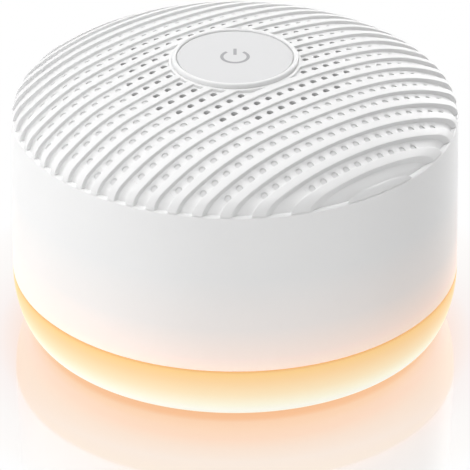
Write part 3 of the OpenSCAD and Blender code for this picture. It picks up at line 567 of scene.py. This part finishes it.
def makeKnob():
    k = knob
    capZ = k["faceZ"] - k["capT"]
    profile = roundedProfile([
        (0, k["stemZ"], 0), (k["stemR"], k["stemZ"], 0), (k["stemR"], capZ, 0.3),
        (k["skirtIn"], capZ, 0.2), (k["skirtIn"], capZ - k["skirtH"], 0),
        (k["skirtR"], capZ - k["skirtH"], 0), (k["skirtR"], capZ, 0),
        (k["capR"], capZ, k["footRound"]), (k["capR"], k["faceZ"], k["faceRound"]),
        (6, k["faceZ"], 0), (0, k["faceZ"], 0),
    ], closed=False)
    piece = addPiece(
        "powerKnob", [lathe(profile, 256, False)], "power_button_body", knobGrey, 40
    )
    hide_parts("power_button")


# Printed power sign: a ring broken at the top and a bar in the break, a thin film on the button
def makePowerSign():
    p = powerSign
    z = knob["faceZ"] + p["lift"]
    a = np.radians(np.linspace(90 + p["openAngle"], 450 - p["openAngle"], 61))[:, None]
    w = np.array([-p["half"], p["half"]])[None]
    r = p["ringR"] + w
    ring = np.stack(np.broadcast_arrays(r * np.cos(a), r * np.sin(a), z), -1)
    ring = ring[::-1]
    t = np.linspace(0, 1, 9)[:, None]
    bar = np.stack(np.broadcast_arrays(w, p["barLow"] + p["barL"] * t, z), -1)
    bar = bar[:, ::-1]
    sheets = [(ring, [gridFaces(61, 2)]), (bar, [gridFaces(9, 2)])]
    addPiece("powerSign", sheets, "power_button_body", printGrey, 40)


knobGrey = mouldedPlastic("knobGrey", (0.605, 0.605, 0.61), 0.42, grain=0.35, cloud=0.004)
printGrey = mouldedPlastic("printGrey", (0.33, 0.33, 0.34), 0.6, grain=0.3, cloud=0.01)
makeTrim()
makeKnob()
makePowerSign()
print("button and trim made")


# Light ring, and the side wall above it
glow = dict(
    footR=44.7, tuck=5.3, wall=2.0, footZ=0.8, topZ=13.9, lipR=47.35, lipT=1.7, lipZ=15.5, webT=1.6,
    ledgeZ=3.3, ledgeT=1.2, ledgeIn=40.8, ledgeOut=46.5, strength=0.7,
)
sideWall = dict(footR=50.0, lean=0.7, footZ=13.9, height=37.45, leakStrength=0.8)


# Quarter ellipse: r = foot + tuck cos a, z = top - height sin a
def ringCurve(inset, start, end, steps=40):
    g = glow
    a = np.linspace(start, end, steps) * math.pi / 2
    return np.stack([
        g["footR"] - inset + g["tuck"] * np.cos(a), g["topZ"] - (g["topZ"] - g["footZ"]) * np.sin(a)
    ], 1)


def makeLightRing():
    g = glow
    outside = ringCurve(0, 1, 0)
    outside[-1] += (-0.12, 0)
    outside[-2] += (0, -0.03)
    inside = ringCurve(g["wall"], 0, 1)
    under = g["topZ"] - g["webT"]
    lip = [
        (g["lipR"], g["topZ"]), (g["lipR"], g["lipZ"]), (g["lipR"] - g["lipT"], g["lipZ"]),
        (g["lipR"] - g["lipT"], under), (g["footR"] + g["tuck"] - g["wall"], under),
    ]
    inside = inside[inside[:, 1] < under - 0.1]
    profile = np.concatenate([outside, lip, inside])
    high, low = g["ledgeZ"] + g["ledgeT"], g["ledgeZ"]
    ledge = [(g["ledgeIn"], low), (g["ledgeOut"], low), (g["ledgeOut"], high), (g["ledgeIn"], high)]
    sheets = [lathe(profile, 256), lathe(ledge, 256)]
    piece = addPiece("lightRing", sheets, "case", frosted, 50)
    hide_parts("light_ring")


# Frosted plastic lit from behind: amber near the joint, cream at the foot
def frostedGlow():
    material, shader, place = newFinish("frostedGlow", (0.5, 0.4, 0.28), 0.5, gloss=0.08)
    height = place.node("ShaderNodeSeparateXYZ", {}, {"Vector": place}, 2)
    level = (height - glow["footZ"] * mm) / ((glow["topZ"] - glow["footZ"]) * mm)
    colours = place.node("ShaderNodeValToRGB", {"stops": [
        (0.0, (0.90, 0.60, 0.34)), (0.03, (1.0, 0.96, 0.80)), (0.12, (1.0, 1.0, 0.92)),
        (0.30, (1.0, 0.95, 0.76)), (0.52, (1.0, 0.82, 0.55)), (0.78, (1.0, 0.70, 0.38)),
        (0.96, (1.0, 0.65, 0.28)), (1.0, (0.9, 0.50, 0.2)),
    ]}, {"Fac": level})
    plug(shader, "Emission Color", colours)
    plug(shader, "Base Color", place.mix(0.3, rgba((0.0, 0.0, 0.0)), colours))
    shader.inputs["Emission Strength"].default_value = glow["strength"]
    fine = noise(place, 2200.0, 2.0)
    plug(shader, "Roughness", (fine - 0.5) * 0.1 + 0.5)
    bumpFrom(shader, fine, 0.000006)
    return material


# Side wall: the white shell, with a painted warm glow at its foot that stands in for the ring's light
# leaking into it
def litShell():
    material, shader, place = newFinish("litShell", (0.78, 0.78, 0.78), 0.42, gloss=0.08)
    height = place.node("ShaderNodeSeparateXYZ", {}, {"Vector": place}, 2)
    level = (height - sideWall["footZ"] * mm) / (sideWall["height"] * mm)
    leak = place.node("ShaderNodeValToRGB", {"stops": [
        (0.0, (0.45, 0.17, 0.02)), (0.08, (0.26, 0.09, 0.005)), (0.28, (0.08, 0.03, 0.005)),
        (0.6, (0.0, 0.0, 0.0)),
    ]}, {"Fac": level})
    plug(shader, "Emission Color", leak)
    shader.inputs["Emission Strength"].default_value = sideWall["leakStrength"]
    clouds = noise(place, 30.0, 2.0)
    fine = noise(place, 2600.0, 2.0, 0.6)
    dark, light = rgba((0.775, 0.775, 0.777)), rgba((0.785, 0.785, 0.784))
    plug(shader, "Base Color", place.mix(clouds, dark, light))
    plug(shader, "Roughness", (fine - 0.5) * 0.06 + (clouds - 0.5) * 0.05 + 0.42)
    bumpFrom(shader, fine, 0.000004)
    return material


frosted = frostedGlow()
wallWhite = litShell()
makeLightRing()


# Control buttons at the back, each at a column and a row of the panel
keys = dict(
    r=3.5, proud=0.3, pitch=10.2, panelZ=33.6, round=0.35, flangeR=4.4, flangeY=42.9, flangeT=1.0,
    stemR=1.2, stemY=41.0, signLift=0.12,
)
keyPlaces = {
    "timer": (0, 0.5), "light": (0, -0.5), "volume_down": (1, -0.5), "volume_up": (1, 0.5),
    "sound_back": (-1, -0.5), "sound_next": (-1, 0.5),
}


# Distance of the wall's surface behind the axis at x, z: the wall is a slightly tapered cone
def wallY(x, z):
    r = sideWall["footR"] - sideWall["lean"] * (z - sideWall["footZ"]) / sideWall["height"]
    return np.sqrt(np.maximum(r ** 2 - x ** 2, 0))


# Cap of a control button: rings of radius t, at angle a, whose front lies on the wall moved out,
# with a rounded edge of quarter-circle section, then a straight side, the flange and the stem
def keySheet(centre, z0):
    k = keys
    turn = np.radians(np.linspace(0, 90, 6))
    frontR = np.concatenate([[0, 1.2, 2.4], k["r"] - k["round"] + k["round"] * np.sin(turn)])
    sink = np.concatenate([[0, 0, 0], k["round"] * (1 - np.cos(turn))])
    a = np.linspace(0, 2 * math.pi, 48, endpoint=False)[:, None]
    x = centre + frontR[None] * np.cos(a)
    z = z0 + frontR[None] * np.sin(a)
    y = wallY(x, z) + k["proud"] - sink[None]
    front = np.stack([x, y, z], -1)
    backR = np.array([k["r"], k["flangeR"], k["flangeR"], k["stemR"], k["stemR"], 0.0])
    front0, front1 = k["flangeY"], k["flangeY"] + k["flangeT"]
    backY = np.array([front1, front1, front0, front0, k["stemY"], k["stemY"]])
    back = np.stack(np.broadcast_arrays(
        centre + backR[None] * np.cos(a), backY[None], z0 + backR[None] * np.sin(a)), -1)
    points = np.concatenate([front, back], 1)
    # With x to the right and z up, y points away: the angle runs the other way round the outside
    return points, [gridFaces(48, points.shape[1], True)]


# Bar of a sign on a button: a rectangle with round ends, raised off the curved front.
# Its outline point at angle a is a circle of radius h, moved along the bar where cos a is positive.
def signBar(centre, z0, x, z, length, turn, h=0.28):
    a = np.linspace(0, 2 * math.pi, 24, endpoint=False)
    shift = np.where(np.cos(a) >= 0, 0.5, -0.5) * length
    u, v = h * np.cos(a) + shift, h * np.sin(a)
    c, w = math.cos(math.radians(turn)), math.sin(math.radians(turn))
    px, pz = centre + x + u * c - v * w, z0 + z + u * w + v * c
    return signSheet(px, pz, centre + x, z0 + z)


# Raised area with any outline: a side wall from the front up to the lift, and a fan on top
def signSheet(px, pz, midX, midZ):
    lift = keys["signLift"]
    base = wallY(px, pz) + keys["proud"]
    middle = np.full_like(px, float(wallY(np.array(midX), np.array(midZ))) + keys["proud"] + lift)
    rows = [
        np.stack([px, base - 0.1, pz], -1), np.stack([px, base + lift, pz], -1),
        np.stack([np.full_like(px, midX), middle, np.full_like(px, midZ)], -1),
    ]
    points = np.stack(rows, 0)
    return points, [gridFaces(3, len(px), False, True)[:, ::-1]]


# Ring sign: a raised band of half width h on a circle of radius r
def signRing(centre, z0, r, h=0.25):
    lift = keys["signLift"]
    a = np.radians(np.linspace(0, 360, 40))[:, None]
    w = np.array([-h, -h, h, h])[None]
    up = np.array([-0.1, lift, lift, -0.1])[None]
    x = centre + (r + w) * np.cos(a)
    z = z0 + (r + w) * np.sin(a)
    y = wallY(x, z) + keys["proud"] + up
    points = np.stack([x, y, z], -1)
    return points, [gridFaces(40, 4)]


# Seen from behind, +x is on the left, so "forward" points to -x
def signSheets(name, centre, z0):
    if name == "volume_up":
        return [signBar(centre, z0, 0, 0, 2.4, 0), signBar(centre, z0, 0, 0, 2.4, 90)]
    if name == "volume_down":
        return [signBar(centre, z0, 0, 0, 2.4, 0)]
    if name == "timer":
        return [
            signRing(centre, z0, 1.5), signBar(centre, z0, 0, 0.4, 0.8, 90, 0.2),
            signBar(centre, z0, -0.35, 0, 0.7, 0, 0.2),
        ]
    if name == "light":
        rays = [
            signBar(centre, z0, 1.75 * math.cos(t), 1.75 * math.sin(t), 0.35, math.degrees(t), 0.17)
            for t in np.arange(8) * math.pi / 4
        ]
        return [signRing(centre, z0, 0.75, 0.2)] + rays
    # A triangle whose three sides have eight points each, and a bar at its tip
    way = -1.0 if name == "sound_next" else 1.0
    tip = np.array([1.0, -0.6, -0.6]) * way
    side = np.array([0.0, 1.05, -1.05])
    k = np.repeat(np.arange(3), 8)
    t = np.tile(np.linspace(0, 1, 8, endpoint=False), 3)
    px = tip[k] * (1 - t) + tip[(k + 1) % 3] * t
    pz = side[k] * (1 - t) + side[(k + 1) % 3] * t
    if way < 0:
        px, pz = px[::-1], pz[::-1]
    return [
        signSheet(centre + px, z0 + pz, centre, z0),
        signBar(centre, z0, 1.45 * way, 0, 1.7, 90, 0.2),
    ]


def makeKeys():
    for name, (column, row) in keyPlaces.items():
        centre, z0 = column * keys["pitch"], keys["panelZ"] + row * keys["pitch"]
        body = name + "_button_body"
        cap = addPiece("key_" + name, [keySheet(centre, z0)], body, keyWhite, 45)
        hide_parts(name + "_button")
        addPiece("sign_" + name, signSheets(name, centre, z0), body, signGrey, 45)


keyWhite = mouldedPlastic("keyWhite", (0.84, 0.84, 0.84), 0.45, grain=0.4, cloud=0.005)
signGrey = mouldedPlastic("signGrey", (0.36, 0.36, 0.37), 0.6, grain=0.3, cloud=0.01)
makeKeys()
print("control buttons made")


# Finishes by material slot, for the pieces that keep their mesh
finishes = {
    "white_shell": whiteShell,
    "button_grey": knobGrey,
    "button_white": keyWhite,
    "diffuser": frosted,
    "cloth": wovenCloth("acousticCloth", (0.035, 0.035, 0.04), 0.0004),
    "foam": grainyStuff("gasketFoam", (0.04, 0.04, 0.045), 0.95, 1400.0, 0.00015),
    "rubber": grainyStuff("softRubber", (0.055, 0.055, 0.06), 0.75, 900.0, 0.00003),
    "black_plastic": mouldedPlastic("blackPlastic", (0.03, 0.03, 0.033), 0.45, grain=1.0, cloud=0.008),
    "board": circuitBoard("greenBoard", (0.015, 0.11, 0.05), (0.05, 0.22, 0.10)),
    "white_board": circuitBoard("whiteBoard", (0.78, 0.78, 0.76), (0.68, 0.68, 0.64)),
    "reflector": mouldedPlastic(
        "reflectorWhite", (0.9, 0.9, 0.89), 0.2, grain=0.2, cloud=0.005, coat=0.4
    ),
    "pressed_steel": platedMetal("pressedSteel", (0.62, 0.62, 0.63), 0.35),
    "ferrite": grainyStuff("ferrite", (0.06, 0.06, 0.065), 0.6, 2500.0, 0.00003),
    "paper": grainyStuff("paperPulp", (0.05, 0.048, 0.045), 0.9, 800.0, 0.00008),
    "spider_cloth": wovenCloth("damperCloth", (0.62, 0.42, 0.16), 0.0006, 0.8),
    "copper": platedMetal("copperWinding", (0.72, 0.32, 0.14), 0.3, (1.0, 1.0, 40.0)),
    "wire": mouldedPlastic("leadInsulation", (0.45, 0.03, 0.03), 0.4, grain=0.4, cloud=0.03),
    "ribbon": mouldedPlastic("ribbonFilm", (0.6, 0.61, 0.62), 0.3, grain=0.2, cloud=0.03, coat=0.3),
    "socket_plastic": mouldedPlastic("socketNylon", (0.78, 0.74, 0.6), 0.5, grain=0.5, cloud=0.02),
    "screw_steel": platedMetal("screwSteel", (0.66, 0.66, 0.66), 0.28),
    "led": mouldedPlastic("ledPhosphor", (0.92, 0.78, 0.32), 0.35, grain=0.6, cloud=0.05, coat=0.5),
}

for name, cadNode in nodes.items():
    finish = finishes[slotOf[name]]
    cadNode.data.materials.clear()
    cadNode.data.materials.append(wallWhite if name == "body_shell" else finish)
print("finishes set:", len(finishes))


# Floor, lamps and camera
studio = dict(
    floor=2.0, world=0.1, aimZ=0.035, mirror=0.28, glowShift=0.010,
    lens=306.65, sensor=36.0, cameraAway=0.9, cameraRaised=29.22, cameraAimZ=0.01974,
)

# Each lamp: azimuth from the front and elevation in degrees, distance, width, height and power
lamps = {
    "leftLamp": (-92, 11, 0.8, 0.4, 0.7, 2.45),
    "frontLamp": (-22, 20, 0.8, 0.3, 0.5, 1.95),
    "rightLamp": (85, 5, 0.8, 0.3, 0.6, 0.95),
    "rightBackLamp": (140, 8, 0.8, 0.3, 0.8, 4.4),
    "topLamp": (0, 89, 0.9, 0.8, 0.8, 5.4),
    "topLeftLamp": (-112, 46, 0.9, 0.6, 0.6, 1.8),
    "topBackLamp": (180, 65, 0.9, 0.8, 0.6, 1.9),
}


# Pale floor that lights like plain paint, and shows the camera white, a painted glow and a faint mirror
def makeFloor():
    half = studio["floor"]
    corners = [(-half, -half, 0), (half, -half, 0), (half, half, 0), (-half, half, 0)]
    mesh = bpy.data.meshes.new("floor")
    mesh.from_pydata(corners, [], [(0, 1, 2, 3)])
    floor = bpy.data.objects.new("floor", mesh)
    bpy.context.scene.collection.objects.link(floor)
    material, shader, place = newFinish("floorWhite", (0.94, 0.94, 0.94), 0.35)
    tree = material.node_tree
    # Painted peach glow round the foot, standing in for the ring's light on the floor, centred a little
    # towards the viewer
    shifted = place.node("ShaderNodeVectorMath", {}, {0: place, 1: (0, studio["glowShift"], 0)})
    distance = place.node("ShaderNodeVectorMath", {"operation": "LENGTH"}, {0: shifted}, 1)
    glowColour = place.node("ShaderNodeValToRGB", {"stops": [
        (0.30, (0.97, 0.50, 0.27)), (0.37, (1.0, 0.565, 0.335)), (0.41, (1.0, 0.60, 0.365)),
        (0.45, (0.995, 0.65, 0.485)), (0.49, (0.96, 0.76, 0.67)), (0.54, (0.95, 0.87, 0.85)),
        (0.60, (0.965, 0.93, 0.91)), (0.68, (0.99, 0.965, 0.945)), (0.74, (1.0, 1.0, 1.0)),
    ]}, {"Fac": distance * 10.0})
    bright = place.node("ShaderNodeEmission", {}, {"Color": glowColour, "Strength": 1.0})
    mirror = place.node("ShaderNodeBsdfGlossy", {}, {"Color": rgba((1, 1, 1)), "Roughness": 0.08})
    seen = place.node("ShaderNodeLightPath")
    plain = Wire(tree, shader.outputs[0])
    mixed = place.node("ShaderNodeMixShader", {}, {"Fac": studio["mirror"], 1: bright, 2: mirror})
    final = place.node("ShaderNodeMixShader", {}, {"Fac": seen, 1: plain, 2: mixed})
    out = next(n for n in tree.nodes if n.type == "OUTPUT_MATERIAL")
    tree.links.new(final.socket, out.inputs["Surface"])
    floor.data.materials.append(material)


# Area lamp on a sphere round the machine, turned to its middle
def addLamp(name, azimuth, elevation, distance, width, height, power):
    lamp = bpy.data.lights.new(name, "AREA")
    lamp.shape = "RECTANGLE"
    lamp.size, lamp.size_y = width, height
    lamp.energy = power
    holder = bpy.data.objects.new(name, lamp)
    bpy.context.scene.collection.objects.link(holder)
    a, e = math.radians(azimuth), math.radians(elevation)
    holder.location = (
        distance * math.sin(a) * math.cos(e), -distance * math.cos(a) * math.cos(e),
        studio["aimZ"] + distance * math.sin(e),
    )
    holder.rotation_euler = (math.pi / 2 - e, 0, a)


# The world is dim as a light, and white where the camera or a reflection sees it
def lightStudio():
    s = studio
    for name, settings in lamps.items():
        addLamp(name, *settings)
    world = bpy.data.worlds.new("studio")
    bpy.context.scene.world = world
    world.use_nodes = True
    tree = world.node_tree
    back = tree.nodes["Background"]
    back.inputs["Color"].default_value = (1, 1, 1, 1)
    back.inputs["Strength"].default_value = s["world"]
    wire = Wire(tree)
    camera, glossy = wire.node("ShaderNodeLightPath"), wire.node("ShaderNodeLightPath", output=3)
    seen = wire.maths("MAXIMUM", camera, glossy)
    dim = Wire(tree, back.outputs[0])
    white = wire.node("ShaderNodeBackground", {}, {"Color": (1, 1, 1, 1), "Strength": 1.0})
    final = wire.node("ShaderNodeMixShader", {}, {"Fac": seen, 1: dim, 2: white})
    out = next(n for n in tree.nodes if n.type == "OUTPUT_WORLD")
    tree.links.new(final.socket, out.inputs["Surface"])


def placeCamera():
    lens = bpy.data.cameras.new("camera")
    lens.sensor_width = studio["sensor"]
    lens.lens = studio["lens"]
    lens.clip_end = 10.0
    camera = bpy.data.objects.new("camera", lens)
    bpy.context.scene.collection.objects.link(camera)
    away, aimZ = studio["cameraAway"], studio["cameraAimZ"]
    raised = math.radians(studio["cameraRaised"])
    camera.location = (0, -away * math.cos(raised), aimZ + away * math.sin(raised))
    camera.rotation_euler = (math.pi / 2 - raised, 0, 0)
    bpy.context.scene.camera = camera


makeFloor()
lightStudio()
placeCamera()
bpy.context.scene.view_settings.view_transform = "Standard"
print("studio set")
